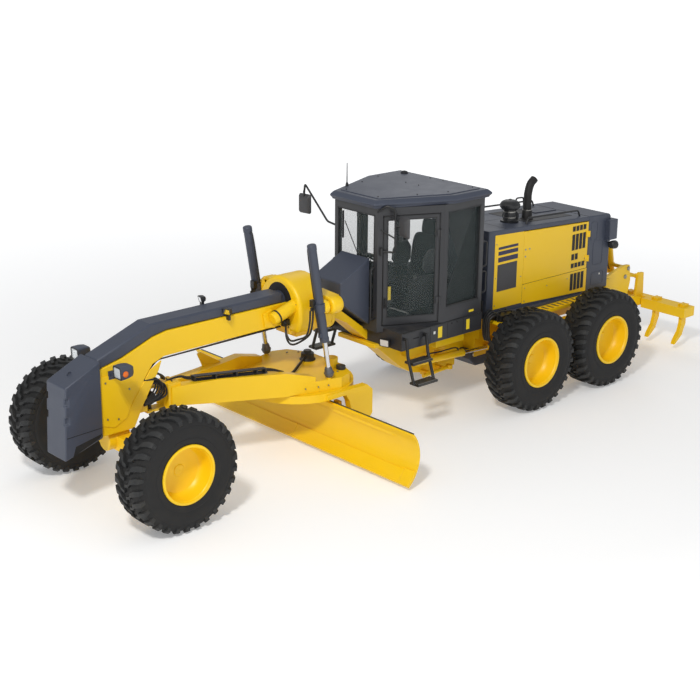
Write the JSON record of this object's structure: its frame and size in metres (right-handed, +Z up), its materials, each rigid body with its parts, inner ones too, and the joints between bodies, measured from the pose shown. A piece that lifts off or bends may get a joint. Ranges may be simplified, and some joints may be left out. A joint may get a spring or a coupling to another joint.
{
  "type": "motor grader",
  "caption": "Articulated road grader with a cab, a circle-mounted blade slung under a gooseneck frame, tandem drive wheels and a rear ripper.",
  "frame": {"origin": "on the ground, under the middle of the overall length and width", "axes": "+X forward (the way the machine drives), +Y to its left, +Z up"},
  "size_m": [10.64, 4.32, 3.41],
  "materials": {
    "yellow_paint": "semi-gloss bright yellow machine enamel",
    "grey_paint": "satin dark blue-grey enamel",
    "rubber": "matte black rubber with block tread",
    "chrome_rod": "polished hard chrome",
    "dark_steel": "satin black paint on steel",
    "seat_cloth": "woven black upholstery"
  },
  "bodies": {
    "rear_frame": {"rear_frame": "yellow_paint", "engine_block": "dark_steel", "hood_shell": "grey_paint", "radiator_housing": "grey_paint", "exhaust_stack": "dark_steel", "precleaner": "dark_steel", "ripper_bracket": "yellow_paint", "tandem_left": "yellow_paint", "tandem_right": "yellow_paint"},
    "front_frame": {"front_frame": "yellow_paint", "beam_cover": "grey_paint", "counterweight": "grey_paint", "front_axle": "yellow_paint", "saddle": "yellow_paint", "cab_shell": "grey_paint", "cab_roof": "grey_paint", "cowl": "grey_paint", "seat": "seat_cloth", "headlight_left": "dark_steel", "headlight_right": "dark_steel", "ladder_left": "dark_steel", "ladder_right": "dark_steel"},
    "drawbar_ball": {"drawbar_ball": "dark_steel"},
    "drawbar": {"drawbar": "yellow_paint"},
    "circle": {"circle": "yellow_paint"},
    "blade_carrier": {"blade_carrier": "yellow_paint"},
    "moldboard": {"moldboard": "yellow_paint"},
    "tie_rod": {"tie_rod": "dark_steel"},
    "ripper_arms": {"ripper_arms": "yellow_paint"},
    "ripper_link": {"ripper_link": "yellow_paint"},
    "ripper_beam": {"ripper_beam": "yellow_paint"},
    "ripper_barrel": {"ripper_barrel": "yellow_paint"},
    "ripper_rod": {"ripper_rod": "chrome_rod"},
    "knuckle_left": {"knuckle_left": "yellow_paint"},
    "cab_door_left": {"cab_door_left": "grey_paint"},
    "hood_door_left": {"hood_door_left": "yellow_paint"},
    "articulation_barrel_left": {"articulation_barrel_left": "yellow_paint"},
    "articulation_rod_left": {"articulation_rod_left": "chrome_rod"},
    "lift_barrel_left": {"lift_barrel_left": "grey_paint"},
    "lift_rod_left": {"lift_rod_left": "chrome_rod"},
    "wheel_front_left": {"tyre_front_left": "rubber", "rim_front_left": "yellow_paint"},
    "wheel_tandem_front_left": {"tyre_tandem_front_left": "rubber", "rim_tandem_front_left": "yellow_paint"},
    "wheel_tandem_rear_left": {"tyre_tandem_rear_left": "rubber", "rim_tandem_rear_left": "yellow_paint"},
    "knuckle_right": {"knuckle_right": "yellow_paint"},
    "cab_door_right": {"cab_door_right": "grey_paint"},
    "hood_door_right": {"hood_door_right": "yellow_paint"},
    "articulation_barrel_right": {"articulation_barrel_right": "yellow_paint"},
    "articulation_rod_right": {"articulation_rod_right": "chrome_rod"},
    "lift_barrel_right": {"lift_barrel_right": "grey_paint"},
    "lift_rod_right": {"lift_rod_right": "chrome_rod"},
    "wheel_front_right": {"tyre_front_right": "rubber", "rim_front_right": "yellow_paint"},
    "wheel_tandem_front_right": {"tyre_tandem_front_right": "rubber", "rim_tandem_front_right": "yellow_paint"},
    "wheel_tandem_rear_right": {"tyre_tandem_rear_right": "rubber", "rim_tandem_rear_right": "yellow_paint"}
  },
  "joints": [
    {"name": "articulation", "type": "hinge", "parent": "rear_frame", "child": "front_frame", "pos_m": [-0.87, 0, 0.68], "axis": [0, 0, 1], "range_deg": [-25, 25]},
    {"name": "steering", "type": "hinge", "parent": "front_frame", "child": "knuckle_left", "pos_m": [4.48, 0.86, 0.7], "axis": [0, 0, 1], "range_deg": [-45, 45]},
    {"name": "steering_right", "type": "hinge", "parent": "front_frame", "child": "knuckle_right", "pos_m": [4.48, -0.86, 0.7], "axis": [0, 0, 1], "range_deg": [-46, 46]},
    {"name": "tie_rod_pivot", "type": "hinge", "parent": "knuckle_left", "child": "tie_rod", "pos_m": [4.18, 0.86, 0.53], "axis": [0, 0, 1], "range_deg": [-46, 46]},
    {"name": "wheel_front_left_spin", "type": "hinge", "parent": "knuckle_left", "child": "wheel_front_left", "pos_m": [4.48, 1.147, 0.7], "axis": [0, 1, 0], "continuous": true},
    {"name": "wheel_tandem_front_left_spin", "type": "hinge", "parent": "rear_frame", "child": "wheel_tandem_front_left", "pos_m": [-1.396, 1.169, 0.7], "axis": [0, 1, 0], "continuous": true},
    {"name": "wheel_tandem_rear_left_spin", "type": "hinge", "parent": "rear_frame", "child": "wheel_tandem_rear_left", "pos_m": [-2.931, 1.169, 0.7], "axis": [0, 1, 0], "continuous": true},
    {"name": "wheel_front_right_spin", "type": "hinge", "parent": "knuckle_right", "child": "wheel_front_right", "pos_m": [4.48, -1.147, 0.7], "axis": [0, 1, 0], "continuous": true},
    {"name": "wheel_tandem_front_right_spin", "type": "hinge", "parent": "rear_frame", "child": "wheel_tandem_front_right", "pos_m": [-1.396, -1.169, 0.7], "axis": [0, 1, 0], "continuous": true},
    {"name": "wheel_tandem_rear_right_spin", "type": "hinge", "parent": "rear_frame", "child": "wheel_tandem_rear_right", "pos_m": [-2.931, -1.169, 0.7], "axis": [0, 1, 0], "continuous": true},
    {"name": "drawbar_lift", "type": "hinge", "parent": "front_frame", "child": "drawbar_ball", "pos_m": [4.06, 0, 1.12], "axis": [0, 1, 0], "range_deg": [-8, 8]},
    {"name": "drawbar_swing", "type": "hinge", "parent": "drawbar_ball", "child": "drawbar", "pos_m": [4.06, 0, 1.12], "axis": [0, 0, -1], "range_deg": [-6, 6]},
    {"name": "circle_turn", "type": "hinge", "parent": "drawbar", "child": "circle", "pos_m": [1.8, 0, 0.8], "axis": [0, 0, 1], "range_deg": [-45, 45]},
    {"name": "blade_tilt", "type": "hinge", "parent": "circle", "child": "blade_carrier", "pos_m": [1.42, 0, 0.3], "axis": [0, 1, 0], "range_deg": [-5, 25]},
    {"name": "blade_shift", "type": "slide", "parent": "blade_carrier", "child": "moldboard", "axis": [0, 1, 0], "range_m": [-0.5, 0.5]},
    {"name": "lift_barrel_left_tip", "type": "hinge", "parent": "front_frame", "child": "lift_barrel_left", "pos_m": [1.93, 0.62, 1.95], "axis": [1, 0, 0], "range_deg": [-15.46, 15.46]},
    {"name": "lift_rod_left_slide", "type": "slide", "parent": "lift_barrel_left", "child": "lift_rod_left", "axis": [-0.168, 0, -0.9858], "range_m": [-0.3186, 0.3186]},
    {"name": "lift_barrel_right_tip", "type": "hinge", "parent": "front_frame", "child": "lift_barrel_right", "pos_m": [1.93, -0.62, 1.95], "axis": [1, 0, 0], "range_deg": [-15.46, 15.46]},
    {"name": "lift_rod_right_slide", "type": "slide", "parent": "lift_barrel_right", "child": "lift_rod_right", "axis": [-0.168, 0, -0.9858], "range_m": [-0.3186, 0.3186]},
    {"name": "articulation_barrel_left_swing", "type": "hinge", "parent": "front_frame", "child": "articulation_barrel_left", "pos_m": [-0.04, 0.36, 0.735], "axis": [0, 0, 1], "range_deg": [-10.86, 10.86]},
    {"name": "articulation_rod_left_slide", "type": "slide", "parent": "articulation_barrel_left", "child": "articulation_rod_left", "axis": [-0.9932, 0.1168, 0], "range_m": [-0.2006, 0.2006]},
    {"name": "articulation_barrel_right_swing", "type": "hinge", "parent": "front_frame", "child": "articulation_barrel_right", "pos_m": [-0.04, -0.36, 0.735], "axis": [0, 0, 1], "range_deg": [-10.86, 10.86]},
    {"name": "articulation_rod_right_slide", "type": "slide", "parent": "articulation_barrel_right", "child": "articulation_rod_right", "axis": [-0.9932, -0.1168, 0], "range_m": [-0.2006, 0.2006]},
    {"name": "ripper_lift", "type": "hinge", "parent": "rear_frame", "child": "ripper_arms", "pos_m": [-4.5, 0, 0.76], "axis": [0, 1, 0], "range_deg": [-20, 25]},
    {"name": "ripper_link_swing", "type": "hinge", "parent": "rear_frame", "child": "ripper_link", "pos_m": [-4.54, 0, 1.13], "axis": [0, 1, 0], "range_deg": [-21, 26]},
    {"name": "ripper_beam_level", "type": "hinge", "parent": "ripper_arms", "child": "ripper_beam", "pos_m": [-5.1, 0, 0.62], "axis": [0, 1, 0], "range_deg": [-26, 21]},
    {"name": "ripper_barrel_tip", "type": "hinge", "parent": "rear_frame", "child": "ripper_barrel", "pos_m": [-4.61, 0, 1.25], "axis": [0, 1, 0], "range_deg": [-3, 3.75]},
    {"name": "ripper_rod_slide", "type": "slide", "parent": "ripper_barrel", "child": "ripper_rod", "axis": [-0.1996, 0, -0.9799], "range_m": [-0.0915, 0.0732]},
    {"name": "cab_door_left_swing", "type": "hinge", "parent": "front_frame", "child": "cab_door_left", "pos_m": [0.02106, 0.78868, 1.55], "axis": [0, 0, 1], "range_deg": [0, 85]},
    {"name": "cab_door_right_swing", "type": "hinge", "parent": "front_frame", "child": "cab_door_right", "pos_m": [0.02106, -0.78868, 1.55], "axis": [0, 0, -1], "range_deg": [0, 85]},
    {"name": "hood_door_left_swing", "type": "hinge", "parent": "rear_frame", "child": "hood_door_left", "pos_m": [-3.31, 0.566, 1.63], "axis": [0, 0, 1], "range_deg": [0, 80]},
    {"name": "hood_door_right_swing", "type": "hinge", "parent": "rear_frame", "child": "hood_door_right", "pos_m": [-3.31, -0.566, 1.63], "axis": [0, 0, -1], "range_deg": [0, 80]}
  ],
  "couplings": [
    {"joint": "steering_right", "follows": "steering", "ratio": 1},
    {"joint": "tie_rod_pivot", "follows": "steering", "ratio": -1},
    {"joint": "lift_barrel_left_tip", "follows": "drawbar_swing", "ratio": 2.5256},
    {"joint": "lift_rod_left_slide", "follows": "drawbar_lift", "m_per_rad": -2.2374},
    {"joint": "lift_barrel_right_tip", "follows": "drawbar_swing", "ratio": 2.5256},
    {"joint": "lift_rod_right_slide", "follows": "drawbar_lift", "m_per_rad": -2.2374},
    {"joint": "articulation_barrel_left_swing", "follows": "articulation", "ratio": -0.42603},
    {"joint": "articulation_rod_left_slide", "follows": "articulation", "m_per_rad": -0.45069},
    {"joint": "articulation_barrel_right_swing", "follows": "articulation", "ratio": -0.42603},
    {"joint": "articulation_rod_right_slide", "follows": "articulation", "m_per_rad": 0.45069},
    {"joint": "ripper_link_swing", "follows": "ripper_lift", "ratio": 1},
    {"joint": "ripper_beam_level", "follows": "ripper_lift", "ratio": -1},
    {"joint": "ripper_barrel_tip", "follows": "ripper_lift", "ratio": 0.14705},
    {"joint": "ripper_rod_slide", "follows": "ripper_lift", "m_per_rad": -0.20556}
  ]
}
